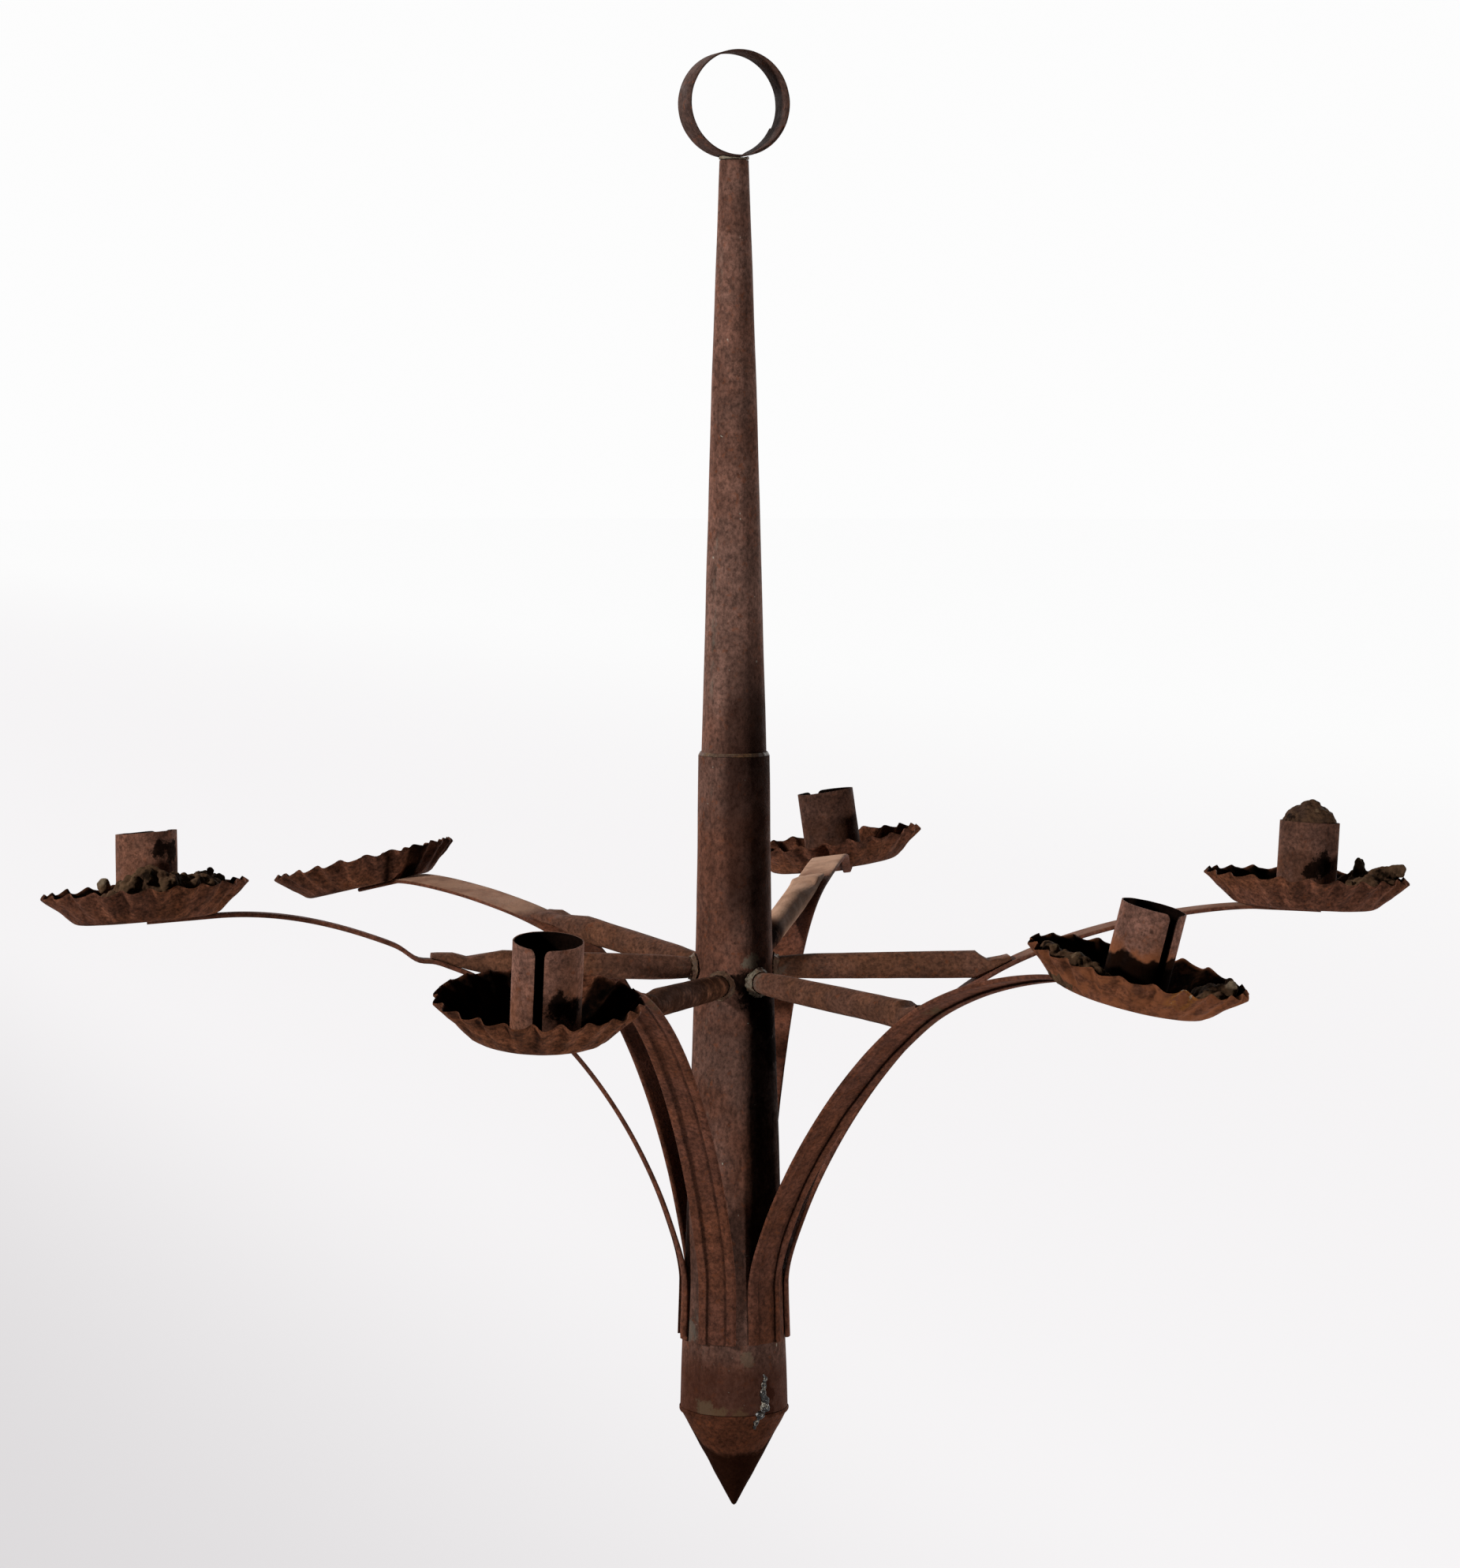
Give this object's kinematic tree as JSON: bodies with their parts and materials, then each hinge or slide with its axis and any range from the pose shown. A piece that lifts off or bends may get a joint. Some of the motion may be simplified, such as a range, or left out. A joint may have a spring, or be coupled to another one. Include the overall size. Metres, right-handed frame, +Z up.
{
  "type": "hanging tin candle chandelier",
  "caption": "Hanging candle chandelier of rusted sheet tin: ring, tapered shaft with a pointed end, curved strip arms, tube braces, crimped drip pans and open candle sockets.",
  "frame": {"origin": "hang point, at the top of the hanging ring's bore, on the shaft's axis", "axes": "+Z up along the shaft, -Y towards the side that the picture shows, +X to its right"},
  "size_m": [0.5358, 0.5211, 0.5714],
  "materials": {
    "hanging_ring": "rusted sheet tin",
    "ring_solder": "dull grey solder",
    "upper_shaft": "rusted sheet tin",
    "lower_shaft": "rusted sheet tin",
    "collar_solder": "dull grey solder",
    "bottom_cone": "rusted sheet tin",
    "arm_strip_right": "rusted sheet tin",
    "arm_brace_right": "rusted sheet tin",
    "brace_solder_right": "dull grey solder",
    "drip_pan_right": "rusted sheet tin, sooty inside",
    "candle_socket_right": "rusted sheet tin",
    "candle_stub_right": "aged candle wax",
    "candle_wax_right": "aged candle wax",
    "arm_strip_front_right": "rusted sheet tin",
    "arm_brace_front_right": "rusted sheet tin",
    "brace_solder_front_right": "dull grey solder",
    "drip_pan_front_right": "rusted sheet tin, sooty inside",
    "candle_socket_front_right": "rusted sheet tin",
    "candle_wax_front_right_a": "aged candle wax",
    "candle_wax_front_right_b": "aged candle wax",
    "arm_strip_front_left": "rusted sheet tin",
    "arm_brace_front_left": "rusted sheet tin",
    "brace_solder_front_left": "dull grey solder",
    "drip_pan_front_left": "rusted sheet tin, sooty inside",
    "candle_socket_front_left": "rusted sheet tin",
    "arm_strip_left": "rusted sheet tin",
    "arm_brace_left": "rusted sheet tin",
    "brace_solder_left": "dull grey solder",
    "drip_pan_left": "rusted sheet tin, sooty inside",
    "candle_socket_left": "rusted sheet tin",
    "candle_wax_left": "aged candle wax",
    "arm_strip_back_left": "rusted sheet tin",
    "arm_brace_back_left": "rusted sheet tin",
    "brace_solder_back_left": "dull grey solder",
    "drip_pan_back_left": "rusted sheet tin, sooty inside",
    "arm_strip_back_right": "rusted sheet tin",
    "arm_brace_back_right": "rusted sheet tin",
    "brace_solder_back_right": "dull grey solder",
    "drip_pan_back_right": "rusted sheet tin, sooty inside",
    "candle_socket_back_right": "rusted sheet tin"
  },
  "bodies": {
    "root": {"hanging_ring": "hanging_ring", "ring_solder": "ring_solder", "upper_shaft": "upper_shaft", "lower_shaft": "lower_shaft", "collar_solder": "collar_solder", "bottom_cone": "bottom_cone", "arm_strip_right": "arm_strip_right", "arm_brace_right": "arm_brace_right", "brace_solder_right": "brace_solder_right", "drip_pan_right": "drip_pan_right", "candle_socket_right": "candle_socket_right", "candle_stub_right": "candle_stub_right", "candle_wax_right": "candle_wax_right", "arm_strip_front_right": "arm_strip_front_right", "arm_brace_front_right": "arm_brace_front_right", "brace_solder_front_right": "brace_solder_front_right", "drip_pan_front_right": "drip_pan_front_right", "candle_socket_front_right": "candle_socket_front_right", "candle_wax_front_right_a": "candle_wax_front_right_a", "candle_wax_front_right_b": "candle_wax_front_right_b", "arm_strip_front_left": "arm_strip_front_left", "arm_brace_front_left": "arm_brace_front_left", "brace_solder_front_left": "brace_solder_front_left", "drip_pan_front_left": "drip_pan_front_left", "candle_socket_front_left": "candle_socket_front_left", "arm_strip_left": "arm_strip_left", "arm_brace_left": "arm_brace_left", "brace_solder_left": "brace_solder_left", "drip_pan_left": "drip_pan_left", "candle_socket_left": "candle_socket_left", "candle_wax_left": "candle_wax_left", "arm_strip_back_left": "arm_strip_back_left", "arm_brace_back_left": "arm_brace_back_left", "brace_solder_back_left": "brace_solder_back_left", "drip_pan_back_left": "drip_pan_back_left", "arm_strip_back_right": "arm_strip_back_right", "arm_brace_back_right": "arm_brace_back_right", "brace_solder_back_right": "brace_solder_back_right", "drip_pan_back_right": "drip_pan_back_right", "candle_socket_back_right": "candle_socket_back_right"}
  },
  "joints": []
}
